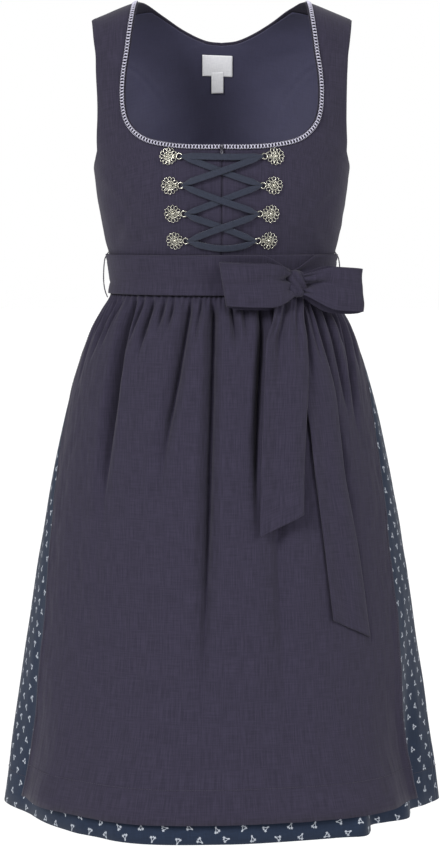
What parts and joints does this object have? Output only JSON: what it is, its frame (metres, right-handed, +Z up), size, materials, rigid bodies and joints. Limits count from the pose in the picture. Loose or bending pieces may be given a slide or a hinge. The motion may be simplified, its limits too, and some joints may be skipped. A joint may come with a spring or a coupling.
{
  "type": "dirndl dress with apron",
  "caption": "Knee-length sleeveless dirndl: laced linen bodice with flower hooks, gathered printed skirt and an apron with its sash tied in a bow.",
  "frame": {"origin": "midway between the two shoulders that carry the dress, at the height of the inner ends of the shoulder seams", "axes": "+Z up along the dress, -Y out of its laced front, +X to the right for someone who looks at the front"},
  "size_m": [0.5503, 0.4754, 0.995],
  "materials": {
    "linen": "matte slubby linen weave",
    "printed_cotton": "matte cotton with a small flower print",
    "lining": "smooth matte cotton lining",
    "lace_ribbon": "flat woven ribbon with a slight sheen",
    "braid": "matte embroidered braid",
    "label": "satin woven label",
    "antique_silver": "antique silver, dark in its hollows"
  },
  "bodies": {
    "dress": {"bodice_front_left": "linen", "bodice_front_right": "linen", "bodice_back": "linen", "bodice_side_back_left": "linen", "bodice_side_back_right": "linen", "back_lining": "lining", "neck_label": "label", "neck_braid_left": "braid", "neck_braid_right": "braid", "lacing": "lace_ribbon", "zip_slider": "antique_silver", "skirt_front": "printed_cotton", "skirt_back": "printed_cotton", "apron_panel": "linen", "apron_waistband": "linen", "sash_wrap": "linen", "sash_bow": "linen", "sash_tail_left": "linen", "sash_tail_right": "linen", "thread_loop_left": "lining", "thread_loop_right": "lining", "hook_left_1": "antique_silver", "hook_left_2": "antique_silver", "hook_left_3": "antique_silver", "hook_left_4": "antique_silver", "hook_right_1": "antique_silver", "hook_right_2": "antique_silver", "hook_right_3": "antique_silver", "hook_right_4": "antique_silver"},
    "zip_pull": {"zip_pull": "antique_silver"}
  },
  "joints": [
    {"name": "zip_pull_hinge", "type": "hinge", "parent": "dress", "child": "zip_pull", "pos_m": [0, -0.11595, -0.18207], "axis": [-1, 0, 0], "range_deg": [0, 150]}
  ]
}
